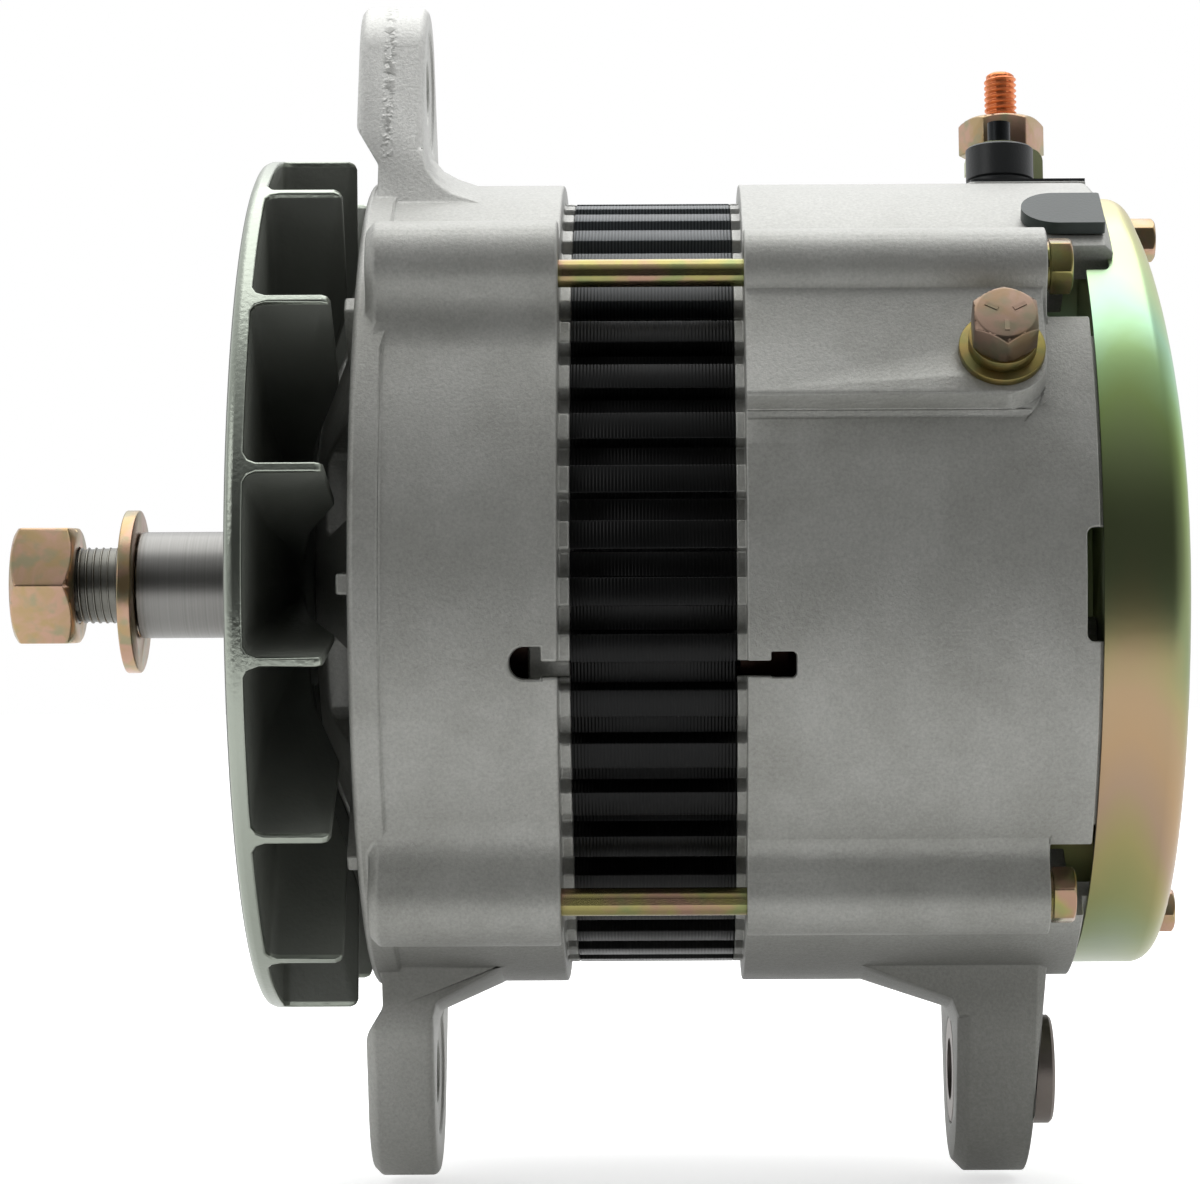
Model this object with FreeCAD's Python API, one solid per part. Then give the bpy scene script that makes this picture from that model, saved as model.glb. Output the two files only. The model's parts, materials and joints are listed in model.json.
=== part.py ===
import FreeCAD, Part
import math
import os

os.makedirs("parts", exist_ok=True)
V = FreeCAD.Vector

# Heavy-duty brushless alternator. The shaft axis is X with zero at the pulley seat, which is the
# front face of the fan; -X is the pulley end, +Z is up. Millimetres and degrees.

# Fits, and how far a cut runs past the face that it opens
press = 0.02
running = 0.05
loose = 0.3
past = 6.0

# Shaft
thread_r = 8.0
thread_front = -51.8
shoulder_x = -27.5
seat_r = 11.1
fan_seat_r = 11.5
bearing_seat_r = 12.5
collar_r = 15.0
pole_seat_r = 13.5
core_journal_r = 11.0
seal_r = 9.5
rear_seat_r = 8.5

# Shaft nut, and the washer that hangs on the thread
washer_r = 17.0
washer_t = 2.8
washer_bore_r = 9.4
nut_front = -53.2
nut_h = 13.0
nut_flats = 24.0

# Fan
fan_r = 87.8
fan_plate = 3.6
fan_hub_x = 10.5
fan_hub_r = 19.0
fan_cone_r = 58.0
blade_count = 15
blade_first = 27.5
blade_rear = 18.5
blade_half = 0.9
blade_in = fan_r - 24.3

# Drums of the two castings, outside in
drum_r = 82.6
rim_r = drum_r + 0.8
drum_inner_r = drum_r - 6.6
spigot_r = drum_r - 8.3
spigot_inner_r = spigot_r - 3.8
cover_spigot_r = drum_r - 4.8
rear_inner_r = cover_spigot_r - 3.8
window_out = drum_r - 13.6
window_in = window_out - 23.5

# Stations along the shaft
nose_x = fan_hub_x + 2.1
front_x = 22.6
rim_x = front_x + 5.8
boss_front = front_x + 2.4
front_end = 61.8
core_front = front_end + 2.4
core_rear = 95.6
rear_start = core_rear + 1.9
bulkhead_x = 125.0
bulkhead_rear = bulkhead_x + 6.0
drum_end = 163.5
boss_end = drum_end - 8.1
cover_spigot_x = drum_end + 6.2

# Through bolts
bolt_circle = drum_r + 3.0
front_boss_r = 9.3
front_boss_blend = 12.0
rear_boss_r = 7.5
rear_boss_blend = 7.0
bolt_r = 3.5
bolt_shank_r = 3.3
bolt_flats = 10.0
bolt_tip = front_end - 30.8
m8_r = 4.0

# Stator and claw poles
fin_count = 46
fin_first = 91.2
fin_half = 2.7
fin_r = spigot_r + 4.4
slot_count = 36
slot_out = spigot_r - 5.6
bore_r = slot_out - 12.7
winding_in = bore_r + 2.5
winding_out = spigot_inner_r - 1.2
claw_r = bore_r - 0.6
claw_inner_r = claw_r - 8.9
pole_front = 56.0
pole_disc = 12.0
pole_rear = 102.0
core_r = claw_inner_r - 6.5
core_screw_circle = core_r - 8.5

# Bearings
front_bearing_x = 24.0
front_bearing_w = 17.0
front_bearing_r = 31.0
nose_r = front_bearing_r + 7.0
retainer_circle = front_bearing_r + 3.5
rear_bearing_w = 12.0
rear_bearing_r = 20.0
seal_out = rear_bearing_r - 8.0

# Top adjusting ear and the two feet
ear_z = drum_r + 20.0
ear_r = 17.6
ear_x = front_x - 2.7
ear_t = 13.6
ear_hole_r = 6.35
foot_z = -(drum_r + 19.4)
foot_r = 21.3
foot_x = front_x - 1.65
foot_t = 13.65
foot_hole_r = 6.4
spot_r = 12.75
spot_depth = 0.6
rear_foot_r = 20.9
bush_r = 11.25
bush_x = drum_end - 22.6
bush_length = 21.0
rear_foot_end = bush_x + 17.7

# Earth pad on the rear housing
pad_turn = 55.0
pad_p = drum_r + 3.9
pad_low = -17.6
pad_high = 10.0
earth_x = drum_end - 17.7
earth_t = -7.8
earth_flats = 12.0
earth_washer_t = 1.8
earth_spring_t = 2.8
earth_seat = pad_p + earth_washer_t + earth_spring_t

# Terminal flat on top of the rear housing
flat_turn = -8.5
flat_p = drum_r - 0.4
flat_x = drum_end - 17.2
flat_end = drum_end + 6.6
flat_low = -13.0
flat_high = 22.0
terminal_p = flat_p + 0.8
signal_x = drum_end - 10.45
signal_t = -5.0
signal_r = 2.4
signal_h = 8.5
output_x = drum_end - 8.6
output_t = 10.0
stud_r = 3.5
stud_root_r = 3.0
stud_top = terminal_p + 29.2
sleeve_r = 4.6
bushing_h = 8.0
strap_t = 3.0
output_nut_h = 7.5

# Rubber plug
plug_turn = 30.2
plug_x = drum_end - 10.8
plug_end = drum_end + 5.2
plug_half = 7.05
plug_p = drum_r + 0.15

# Rear cover
cover_t = 1.2
cover_r = cover_spigot_r + loose + cover_t
cover_edge = drum_end + 1.0
cover_back = cover_spigot_x + 11.6
cover_corner = 4.2
screw_circle = rear_inner_r - 3.0
cover_turns = (0.0, 160.0, -100.0)
post_r = cover_r - cover_corner - 0.1 - screw_circle

# Rectifier
negative_x = bulkhead_rear + 6.0
positive_x = negative_x + 8.0
plate_t = 3.0
plate_out = rear_inner_r - 10.0
plate_in = plate_out - 30.0
plate_reach = 130.0
plate_turns = (-90.0, -45.0, 45.0, 90.0)
plate_circle = plate_out - 6.0
diode_circle = plate_out - 16.0
diode_r = 6.0
negative_seats = (-112.0, -22.0, 68.0)
positive_seats = (-68.0, 22.0, 112.0)
tab_p = plate_out - 2.0


def outline(corners, place, chords=False):
    """Closed wire through (a, b) corners; a third value rounds that corner, by chords if asked."""
    points = [place(c[0], c[1]) for c in corners]
    total = len(corners)
    arrive = []
    leave = []
    middle = []
    for i in range(total):
        here = points[i]
        if len(corners[i]) == 2:
            arrive.append(here)
            leave.append(here)
            middle.append(None)
            continue
        radius = corners[i][2]
        back = (points[i - 1] - here).normalize()
        ahead = (points[(i + 1) % total] - here).normalize()
        half = back.getAngle(ahead) / 2
        reach = radius / math.tan(half)
        inward = (back + ahead).normalize()
        centre = here + inward * (radius / math.sin(half))
        arrive.append(here + back * reach)
        leave.append(here + ahead * reach)
        middle.append(centre - inward * radius)
    edges = []
    for i in range(total):
        if middle[i] is not None and chords:
            edges.append(Part.makeLine(arrive[i], middle[i]))
            edges.append(Part.makeLine(middle[i], leave[i]))
        elif middle[i] is not None:
            edges.append(Part.Arc(arrive[i], middle[i], leave[i]).toShape())
        following = arrive[(i + 1) % total]
        if leave[i].distanceToPoint(following) > 1e-6:
            edges.append(Part.makeLine(leave[i], following))
    return Part.Wire(edges)


def turned(corners, start=0.0, sweep=360.0, chords=True):
    """Solid turned about the shaft axis from (x, radius) corners."""
    face = Part.Face(outline(corners, lambda x, r: V(x, 0, r), chords))
    face.rotate(V(0, 0, 0), V(1, 0, 0), start)
    return face.revolve(V(0, 0, 0), V(1, 0, 0), sweep)


def upright(corners, x=0.0, y=0.0):
    """Solid turned about an upright axis from (radius, z) corners."""
    face = Part.Face(outline(corners, lambda r, z: V(r, 0, z), chords=True))
    body = face.revolve(V(0, 0, 0), V(0, 0, 1), 360)
    body.translate(V(x, y, 0))
    return body


def ring(x0, x1, inner, outer):
    return turned([(x0, inner), (x0, outer), (x1, outer), (x1, inner)])


def rod(x0, x1, radius, y=0.0, z=0.0):
    return Part.makeCylinder(radius, x1 - x0, V(x0, y, z), V(1, 0, 0))


def pin(radius, z0, z1, x=0.0, y=0.0):
    return Part.makeCylinder(radius, z1 - z0, V(x, y, z0))


def slab(corners, x0, x1):
    """Plate square to the shaft from (y, z) corners."""
    face = Part.Face(outline(corners, lambda y, z: V(x0, y, z)))
    return face.extrude(V(x1 - x0, 0, 0))


def rib(corners, y0, y1):
    """Plate along the shaft from (x, z) corners."""
    face = Part.Face(outline(corners, lambda x, z: V(x, y0, z)))
    return face.extrude(V(0, y1 - y0, 0))


def raised(corners, z0, z1):
    """Plate lying flat from (x, y) corners."""
    face = Part.Face(outline(corners, lambda x, y: V(x, y, z0)))
    return face.extrude(V(0, 0, z1 - z0))


def block(x0, x1, y0, y1, z0, z1):
    return Part.makeBox(x1 - x0, y1 - y0, z1 - z0, V(x0, y0, z0))


def turn(shape, degrees):
    """Copy turned about the shaft from straight up, positive toward -Y."""
    copy = shape.copy()
    copy.rotate(V(0, 0, 0), V(1, 0, 0), degrees)
    return copy


def around(shape, count, first=0.0):
    return [turn(shape, first + i * 360.0 / count) for i in range(count)]


def hexagon(flats, height, corner=0.0, bevel=0.0, both=False):
    """Hexagonal head or nut standing on z = 0, its corners bevelled above and, if asked, below."""
    reach = flats / math.sqrt(3)
    corners = []
    for i in range(6):
        angle = math.radians(corner + 60 * i)
        corners.append((reach * math.cos(angle), reach * math.sin(angle)))
    prism = raised(corners, 0, height)
    if bevel == 0.0:
        return prism
    inner = flats * 0.475
    foot = [(inner, 0), (reach, bevel)] if both else [(reach, 0)]
    return prism.common(upright([(0, 0)] + foot + [(reach, height - bevel), (inner, height), (0, height)]))


def lay(shape, x, y=0.0, z=0.0):
    """Stand a piece modelled on z = 0 along the shaft, with its foot at x."""
    copy = shape.copy()
    copy.rotate(V(0, 0, 0), V(0, 1, 0), 90)
    copy.translate(V(x, y, z))
    return copy


def toothed(count, first, half, root, top, x0, x1):
    """Prism with straight-sided teeth round the shaft."""
    corners = []
    low = math.degrees(math.asin(half / root))
    high = math.degrees(math.asin(half / top))
    for i in range(count):
        middle = first + i * 360.0 / count
        for angle, radius in ((-low, root), (-high, top), (high, top), (low, root)):
            a = math.radians(middle + angle)
            corners.append((-radius * math.sin(a), radius * math.cos(a)))
    return slab(corners, x0, x1)


def casing(radius, boss, blend, x0, x1):
    """Drum with four bolt bosses blended into it by tangent arcs."""
    far = radius + blend
    near = boss + blend
    swing = math.acos((bolt_circle ** 2 + far ** 2 - near ** 2) / (2 * bolt_circle * far))

    def at(length, angle):
        return V(x0, -length * math.sin(angle), length * math.cos(angle))

    edges = []
    for i in range(4):
        middle = math.radians(45 + 90 * i)
        heart = at(bolt_circle, middle)
        ends = []
        for side in (-1, 1):
            centre = at(far, middle + side * swing)
            drum_point = at(radius, middle + side * swing)
            boss_point = heart + (centre - heart).normalize() * boss
            lean = (drum_point - centre).normalize() + (boss_point - centre).normalize()
            waist = centre + lean.normalize() * blend
            edges.append(Part.Arc(drum_point, waist, boss_point).toShape())
            ends.append(boss_point)
        edges.append(Part.Arc(ends[0], at(bolt_circle + boss, middle), ends[1]).toShape())
        after = middle + math.radians(90)
        edges.append(Part.Arc(at(radius, middle + swing), at(radius, (middle + after) / 2),
                              at(radius, after - swing)).toShape())
    wire = Part.Wire(Part.__sortEdges__(edges))
    return Part.Face(wire).extrude(V(x1 - x0, 0, 0))


def bevelled(shape, x, size, beyond=0.0):
    """Bevel the edges of a prism's end face at x, except straight edges inside a height."""
    chosen = []
    for edge in shape.Edges:
        box = edge.BoundBox
        flat = abs(box.XMin - x) < 0.001 and abs(box.XMax - x) < 0.001
        if flat and max(abs(box.ZMin), abs(box.ZMax)) > beyond:
            chosen.append(edge)
    return shape.makeChamfer(size, chosen)


def lug(centre_z, radius, base_half, base_z, x0, x1):
    """Round-ended lug square to the shaft, its sides tangent to the round end."""
    side = 1 if centre_z > 0 else -1
    centre = V(x0, 0, centre_z)
    base = V(x0, base_half, base_z)
    span = (base - centre).Length
    down = (base - centre).normalize()
    open_angle = math.degrees(math.acos(radius / span))
    reach = FreeCAD.Rotation(V(1, 0, 0), open_angle * side).multVec(down) * radius
    touch = centre + reach
    twin = V(x0, -touch.y, touch.z)
    other = V(x0, -base_half, base_z)
    tip = V(x0, 0, centre_z + side * radius)
    edges = [Part.makeLine(base, touch), Part.Arc(touch, tip, twin).toShape(),
             Part.makeLine(twin, other), Part.makeLine(other, base)]
    return Part.Face(Part.Wire(edges)).extrude(V(x1 - x0, 0, 0))


def bearing_outer(x0, x1, inner, outer):
    """Outer race with its two shields, clear of an inner race of the given radius."""
    race = outer - (outer - inner) * 0.27
    lip = inner + loose
    return turned([(x0, race), (x0, outer), (x1, outer), (x1, race), (x1 - 0.6, race),
                   (x1 - 0.6, lip), (x1 - 1.4, lip), (x1 - 1.4, race), (x0 + 1.4, race),
                   (x0 + 1.4, lip), (x0 + 0.6, lip), (x0 + 0.6, race)])


def make_rotor_shaft():
    bearing_end = front_bearing_x + front_bearing_w
    tail = bulkhead_rear + rear_bearing_w + 1.0
    return turned([(thread_front, 0), (thread_front, thread_r - 1.0), (thread_front + 1.0, thread_r),
                   (shoulder_x, thread_r), (shoulder_x, seat_r - 0.5), (shoulder_x + 0.5, seat_r),
                   (0, seat_r), (0, fan_seat_r), (front_bearing_x, fan_seat_r),
                   (front_bearing_x, bearing_seat_r), (bearing_end, bearing_seat_r),
                   (bearing_end, collar_r), (pole_front, collar_r), (pole_front, pole_seat_r),
                   (pole_front + pole_disc, pole_seat_r), (pole_front + pole_disc, core_journal_r),
                   (bulkhead_x - 3, core_journal_r), (bulkhead_x - 3, seal_r),
                   (bulkhead_rear, seal_r), (bulkhead_rear, rear_seat_r), (tail, rear_seat_r),
                   (tail, 0)])


def make_shaft_nut():
    body = hexagon(nut_flats, nut_h, corner=90, bevel=1.6, both=True)
    return lay(body.cut(pin(thread_r + running, -past, nut_h + past)), nut_front)


def make_shaft_washer():
    hang = washer_bore_r - thread_r - running
    disc = rod(shoulder_x - washer_t, shoulder_x, washer_r, 0, -hang)
    return disc.cut(rod(shoulder_x - washer_t - 1, shoulder_x + 1, washer_bore_r, 0, -hang))


def make_fan():
    bore = fan_seat_r + press
    plate = turned([(0, bore), (0, fan_r, 1.8), (fan_plate, fan_r), (fan_plate, fan_cone_r),
                    (fan_hub_x - 2.5, fan_hub_r + 3), (fan_hub_x, fan_hub_r, 0.8), (fan_hub_x, bore)])
    flare = blade_half + 2.0
    section = [(fan_plate - 1.6, -flare), (fan_plate, -flare), (fan_plate + 0.8, -blade_half - 0.6),
               (fan_plate + 2.4, -blade_half), (blade_rear + 1, -blade_half),
               (blade_rear + 1, blade_half), (fan_plate + 2.4, blade_half),
               (fan_plate + 0.8, blade_half + 0.6), (fan_plate, flare), (fan_plate - 1.6, flare)]
    blade = raised(section, fan_hub_r + 1, fan_r + 1)
    envelope = turned([(fan_plate - 1.6, fan_hub_r + 0.5), (fan_plate - 1.6, fan_r),
                       (blade_rear, fan_r, 1.6), (blade_rear, blade_in, 2), (12, blade_in - 19.5),
                       (fan_hub_x - 1.7, fan_hub_r + 2), (fan_hub_x - 1.7, fan_hub_r + 0.5)])
    blade = blade.common(envelope)
    return plate.fuse(around(blade, blade_count, blade_first)).removeSplitter()


def make_fan_spacer():
    return ring(fan_hub_x, front_bearing_x, fan_seat_r + press, collar_r)


def air_windows(x0, x1):
    """Eight openings between the spokes of an end wall."""
    window = slab([(-9.0, window_in, 3), (-11.5, window_out, 3), (11.5, window_out, 3),
                   (9.0, window_in, 3)], x0, x1)
    return around(window, 8, 22.5)


def make_front_ear():
    x1 = ear_x + ear_t
    neck = ear_x + 4.7
    head = lug(ear_z, ear_r, 36.0, drum_r - 16.6, ear_x, x1)
    head = bevelled(bevelled(head, ear_x, 1.1, ear_z), x1, 1.1, ear_z)
    head = head.common(rib([(neck, 0), (neck, drum_r + 2, 2), (ear_x, drum_r + 9.9, 4),
                            (ear_x, ear_z + 30), (x1, ear_z + 30), (x1, 0)], -50, 50))
    web = lug(ear_z, ear_r, 36.0, drum_r - 16.6, neck + 1, x1 + 13)
    fillet = turned([(neck + 1, drum_r - 20), (neck + 1, drum_r + 9), (x1, drum_r + 9),
                     (x1 + 0.9, drum_r + 5.6), (x1 + 3.0, drum_r + 3.2), (x1 + 6.2, drum_r + 1.4),
                     (x1 + 11.5, drum_r - 0.4), (x1 + 11.5, drum_r - 20)])
    return head.fuse(web.common(fillet))


def make_front_foot():
    x1 = foot_x + foot_t
    neck = foot_x + 3.65
    head = lug(foot_z, foot_r, 34.0, -(drum_r - 18.6), foot_x, x1)
    head = bevelled(bevelled(head, foot_x, 1.8, -foot_z), x1, 1.0, -foot_z)
    head = head.common(rib([(neck, 0), (neck, -(drum_r + 2.9), 3), (foot_x, -(drum_r + 8.9), 6),
                            (foot_x, foot_z - 30), (x1, foot_z - 30), (x1, 0)], -50, 50))
    web = lug(foot_z, foot_r, 34.0, -(drum_r - 18.6), neck + 1, x1 + 20)
    fillet = turned([(neck + 1, drum_r - 22), (neck + 1, drum_r + 9), (x1, drum_r + 9),
                     (x1 + 0.8, drum_r + 6.0), (x1 + 13.4, drum_r + 0.4), (x1 + 15.4, drum_r - 0.8),
                     (x1 + 15.4, drum_r - 22)])
    return head.fuse(web.common(fillet))


def make_front_housing():
    bearing_end = front_bearing_x + front_bearing_w
    spigot_start = core_front - 8.2
    body = turned([(nose_x, nose_r - 21), (nose_x, nose_r, 1.5), (nose_x + 1.6, nose_r + 5),
                   (front_x - 1.1, drum_r - 20.6), (front_x, drum_r - 12.6), (front_x, rim_r, 1.2),
                   (rim_x, rim_r), (rim_x, drum_r), (front_end, drum_r), (front_end, spigot_r - 1),
                   (core_front, spigot_r - 1), (core_front, spigot_inner_r),
                   (spigot_start, spigot_inner_r), (spigot_start, drum_inner_r),
                   (front_x + 5.4, drum_inner_r, 3), (front_x + 4.6, drum_r - 16.6),
                   (front_x + 3.9, drum_r - 20.6), (nose_x + 7, nose_r + 5.5),
                   (nose_x + 6.4, nose_r), (bearing_end, nose_r), (bearing_end, front_bearing_r),
                   (front_bearing_x, front_bearing_r), (front_bearing_x, front_bearing_r - 9),
                   (nose_x + 4.4, front_bearing_r - 9), (nose_x + 4.4, nose_r - 21)])
    bosses = casing(drum_r, front_boss_r, front_boss_blend, boss_front, front_end)
    bosses = bevelled(bosses, boss_front, 1.8)
    bosses = bosses.cut(rod(boss_front - 1, front_end + 1, drum_r - 2))
    teeth = toothed(fin_count, fin_first, fin_half, spigot_r, fin_r, front_end - 0.5, core_front)
    teeth = teeth.cut(rod(front_end - past, core_front + past, spigot_inner_r + 1))
    spoke = block(nose_x + 7.4, front_x + 11.4, -2, 2, nose_r - 1, drum_inner_r + 1)
    lugs = make_front_ear().fuse(make_front_foot())
    lugs = lugs.cut(rod(front_x + 5.4, front_end, drum_inner_r))
    body = body.fuse([bosses, teeth, lugs] + around(spoke, 8))
    cuts = air_windows(nose_x - past, front_x + 11.9)
    ear_end = ear_x + ear_t - spot_depth
    cuts.append(rod(ear_x - past, ear_end + past, ear_hole_r, 0, ear_z))
    cuts.append(rod(ear_end, ear_end + past, spot_r, 0, ear_z))
    foot_end = foot_x + foot_t - spot_depth
    cuts.append(rod(foot_x - past, foot_end + past, foot_hole_r, 0, foot_z))
    cuts.append(rod(foot_end, foot_end + past, spot_r, 0, foot_z))
    bolt_hole = rod(bolt_tip - 1, front_end + past, bolt_r + running, 0, bolt_circle)
    cuts.extend(around(bolt_hole, 4, 45))
    slot_x = front_end - 3.1
    cuts.append(rib([(slot_x - 6, -18.0, 2.9), (slot_x, -18.0), (slot_x, -17.7),
                     (core_front + 1, -17.7), (core_front + 1, -14.7), (slot_x, -14.7),
                     (slot_x, -11.9), (slot_x - 6, -11.9, 2.9)], -drum_r - past, -drum_r + 10.6))
    screw_hole = rod(bearing_end - 10, bearing_end + past, 2.05, 0, retainer_circle)
    cuts.extend(around(screw_hole, 3))
    return body.cut(cuts).removeSplitter()


def make_stator_core():
    outer = toothed(fin_count, fin_first, fin_half, spigot_r, fin_r, core_front, core_rear)
    inner = toothed(slot_count, 5.0, 2.0, bore_r, slot_out, core_front - 1, core_rear + 1)
    return outer.cut(inner)


def make_stator_winding():
    x0 = core_front - 14.2
    x1 = core_rear + 12.4
    bars = toothed(slot_count, 5.0, 1.8, winding_in, slot_out - loose, core_front - past, core_rear + past)
    bars = bars.cut(rod(x0, x1, winding_in + 0.2))
    front = turned([(x0, winding_in, 2.5), (x0, winding_out, 2.5), (core_front - 0.8, winding_out),
                    (core_front - 0.8, winding_in)])
    rear = turned([(core_rear + 0.8, winding_in), (core_rear + 0.8, winding_out),
                   (x1, winding_out, 2.5), (x1, winding_in, 2.5)])
    return front.fuse([bars, rear])


def make_tongue():
    """Rearward lip of the drum that carries the rubber plug and the terminals."""
    foot = drum_r - 6.0
    return turned([(drum_end - 1, foot), (drum_end - 1, drum_r), (drum_end + 5, drum_r),
                   (flat_end, drum_r - 1.8), (flat_end, foot)], -22, 60.4)


def make_earth_pad():
    foot = drum_r - 6.1
    end = earth_x + 8.5
    low = pad_low - 5.2
    pad = slab([(low, foot), (low, drum_r - 3.4), (pad_low, drum_r - 1.7, 2.0), (pad_low, pad_p, 0.8),
                (pad_high, pad_p), (pad_high, foot)], rear_start, end)
    base = raised([(rear_start, low), (end, low, 13), (end, pad_high), (rear_start, pad_high)],
                  foot - 1, drum_r - 1)
    top = raised([(rear_start, pad_low), (end, pad_low, 8), (end, pad_high), (rear_start, pad_high)],
                 foot - 1, pad_p + 1)
    return turn(pad.common(base.fuse(top)), pad_turn)


def terminal_flat(margin, z0, z1):
    """Plate under the terminals, wider than the insulating plate by a margin."""
    low = flat_low - margin
    high = flat_high + margin
    corner = 1.0 + margin
    return raised([(flat_x - margin, low, corner), (flat_end, low), (flat_end, high),
                   (flat_x - margin, high, corner)], z0, z1)


def make_rear_foot():
    base_z = -(drum_r - 20.6)
    head = lug(foot_z, rear_foot_r, 34.0, base_z, bush_x, rear_foot_end)
    head = bevelled(bevelled(head, bush_x, 2.4, -foot_z), rear_foot_end, 2.0, -foot_z)
    taper = rib([(bush_x, 0), (bush_x, foot_z - 30), (bush_x + 14.3, foot_z - 30),
                 (rear_foot_end - 0.1, -(drum_r - 2.6)), (rear_foot_end - 0.1, 0)], -50, 50)
    web = lug(foot_z, rear_foot_r, 34.0, base_z, bush_x - 34, bush_x + 4)
    fillet = turned([(bush_x - 21.5, drum_r - 22), (bush_x - 21.5, drum_r - 0.8),
                     (bush_x - 1.4, drum_r + 5.8), (bush_x, drum_r + 9),
                     (bush_x + 3.5, drum_r + 9), (bush_x + 3.5, drum_r - 22)])
    return head.common(taper).fuse(web.common(fillet))


def make_rear_housing():
    bearing_end = bulkhead_rear + rear_bearing_w
    hub_r = rear_bearing_r + 5.5
    body = turned([(rear_start, drum_r), (drum_end, drum_r), (drum_end, cover_spigot_r),
                   (cover_spigot_x, cover_spigot_r), (cover_spigot_x, rear_inner_r),
                   (bulkhead_rear, rear_inner_r), (bulkhead_rear, hub_r), (bearing_end, hub_r),
                   (bearing_end, rear_bearing_r), (bulkhead_rear, rear_bearing_r),
                   (bulkhead_rear, seal_out), (bulkhead_x, seal_out), (bulkhead_x, drum_inner_r),
                   (core_rear + 7.4, drum_inner_r), (core_rear + 7.4, spigot_inner_r),
                   (core_rear, spigot_inner_r), (core_rear, spigot_r - 1), (rear_start, spigot_r - 1)])
    bosses = casing(drum_r, rear_boss_r, rear_boss_blend, rear_start, boss_end)
    bosses = bosses.cut(rod(rear_start - 1, boss_end + 1, drum_r - 2))
    teeth = toothed(fin_count, fin_first, fin_half, spigot_r, fin_r, core_rear, rear_start + 0.5)
    teeth = teeth.cut(rod(core_rear - past, rear_start + past, spigot_inner_r + 1))
    flat = turn(terminal_flat(1.0, drum_r - 5.1, flat_p), flat_turn)
    outside = make_tongue().fuse([make_earth_pad(), flat, make_rear_foot()])
    outside = outside.cut([rod(bulkhead_x - 50, bulkhead_x, drum_inner_r),
                           rod(bulkhead_x, flat_end + past, rear_inner_r)])
    body = body.fuse([bosses, teeth, outside])
    body = body.cut(turn(terminal_flat(1.0, flat_p, flat_p + past), flat_turn))
    body = body.cut(air_windows(bulkhead_x - 2, bulkhead_rear + 1))
    posts = [turn(rod(bulkhead_rear - 1, cover_back - cover_t, post_r, 0, screw_circle), t)
             for t in cover_turns]
    studs = [turn(rod(bulkhead_rear - 1, negative_x, 4.5, 0, plate_circle), t)
             for t in plate_turns]
    body = body.fuse(posts + studs)
    high = drum_r + 30
    cuts = around(block(boss_end, flat_end + past, -10.5, 10.5, rear_inner_r - 3, high), 4, 45)
    bolt_hole = rod(rear_start - past, boss_end + past, bolt_r + loose, 0, bolt_circle)
    cuts.extend(around(bolt_hole, 4, 45))
    cuts.append(rod(bush_x - past, rear_foot_end + past, bush_r + running, 0, foot_z))
    slot_x = rear_start + 4.4
    cuts.append(rib([(core_rear - past, -17.7), (slot_x, -17.7), (slot_x, -17.9),
                     (slot_x + 4.85, -17.9, 1), (slot_x + 4.85, -13.0, 1), (slot_x, -13.0),
                     (slot_x, -14.7), (core_rear - past, -14.7)], -drum_r - past, -drum_r + 14.6))
    end = flat_end + past
    notch = rib([(drum_end - 2.5, -11.5, 1.5), (drum_end - 2.5, 10, 1.5), (end, 10), (end, -11.5)],
                -drum_r - past, -rear_inner_r + 4)
    low_notch = raised([(drum_end - 5.1, -20, 1.5), (drum_end - 5.1, 20, 1.5), (end, 20), (end, -20)],
                       -drum_r - past, -rear_inner_r + 6)
    cuts.extend([notch, turn(notch, 180), low_notch])
    cuts.append(turn(pin(m8_r + running, pad_p - 8.6, pad_p + past, earth_x, earth_t), pad_turn))
    cuts.append(turn(pin(signal_r + 0.5, plate_out, flat_p + past, signal_x, signal_t), flat_turn))
    cuts.append(turn(pin(sleeve_r + loose, plate_out, flat_p + past, output_x, output_t), flat_turn))
    cuts.append(turn(block(plug_x + 2.0, plug_end - 3.4, -3.8, 3.8, plate_out, high), plug_turn))
    cuts.extend(turn(rod(cover_back - 13, cover_back + past, 2.55, 0, screw_circle), t)
                for t in cover_turns)
    cuts.extend(turn(rod(bulkhead_rear - 4.5, negative_x + past, 2.55, 0, plate_circle), t)
                for t in plate_turns)
    cuts.extend(around(rod(bulkhead_x - past, bulkhead_rear + 4, 3.1, 0, core_screw_circle), 4, 45))
    return body.cut(cuts).removeSplitter()


def make_foot_bush():
    body = turned([(0, foot_hole_r), (0, bush_r - 0.6), (0.6, bush_r), (bush_length - 0.6, bush_r),
                   (bush_length, bush_r - 0.6), (bush_length, foot_hole_r)])
    body.translate(V(bush_x, 0, foot_z))
    return body


def make_through_bolts():
    collar = boss_end + 0.8
    tip = Part.makeCone(bolt_r - 1, bolt_r, 1, V(bolt_tip, 0, bolt_circle), V(1, 0, 0))
    thread = rod(bolt_tip + 1, front_end - 0.5, bolt_r, 0, bolt_circle)
    shank = rod(front_end - 0.5, boss_end + 0.5, bolt_shank_r, 0, bolt_circle)
    washer_face = rod(boss_end, collar, bolt_flats * 0.48, 0, bolt_circle)
    head = lay(hexagon(bolt_flats, 4.4, bevel=0.6), collar, 0, bolt_circle)
    bolt = shank.fuse([tip, thread, washer_face, head]).removeSplitter()
    return Part.makeCompound(around(bolt, 4, 45))


def make_earth_bolt():
    head = hexagon(earth_flats, 7.2, corner=90, bevel=0.9)
    head = head.cut(pin(earth_flats, -1, 0.8).cut(pin(earth_flats * 0.5 + 0.2, -past, past)))
    head.translate(V(earth_x, earth_t, earth_seat))
    shank = pin(m8_r, pad_p - 8.2, earth_seat + 0.1, earth_x, earth_t)
    return turn(head.fuse(shank), pad_turn)


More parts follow.
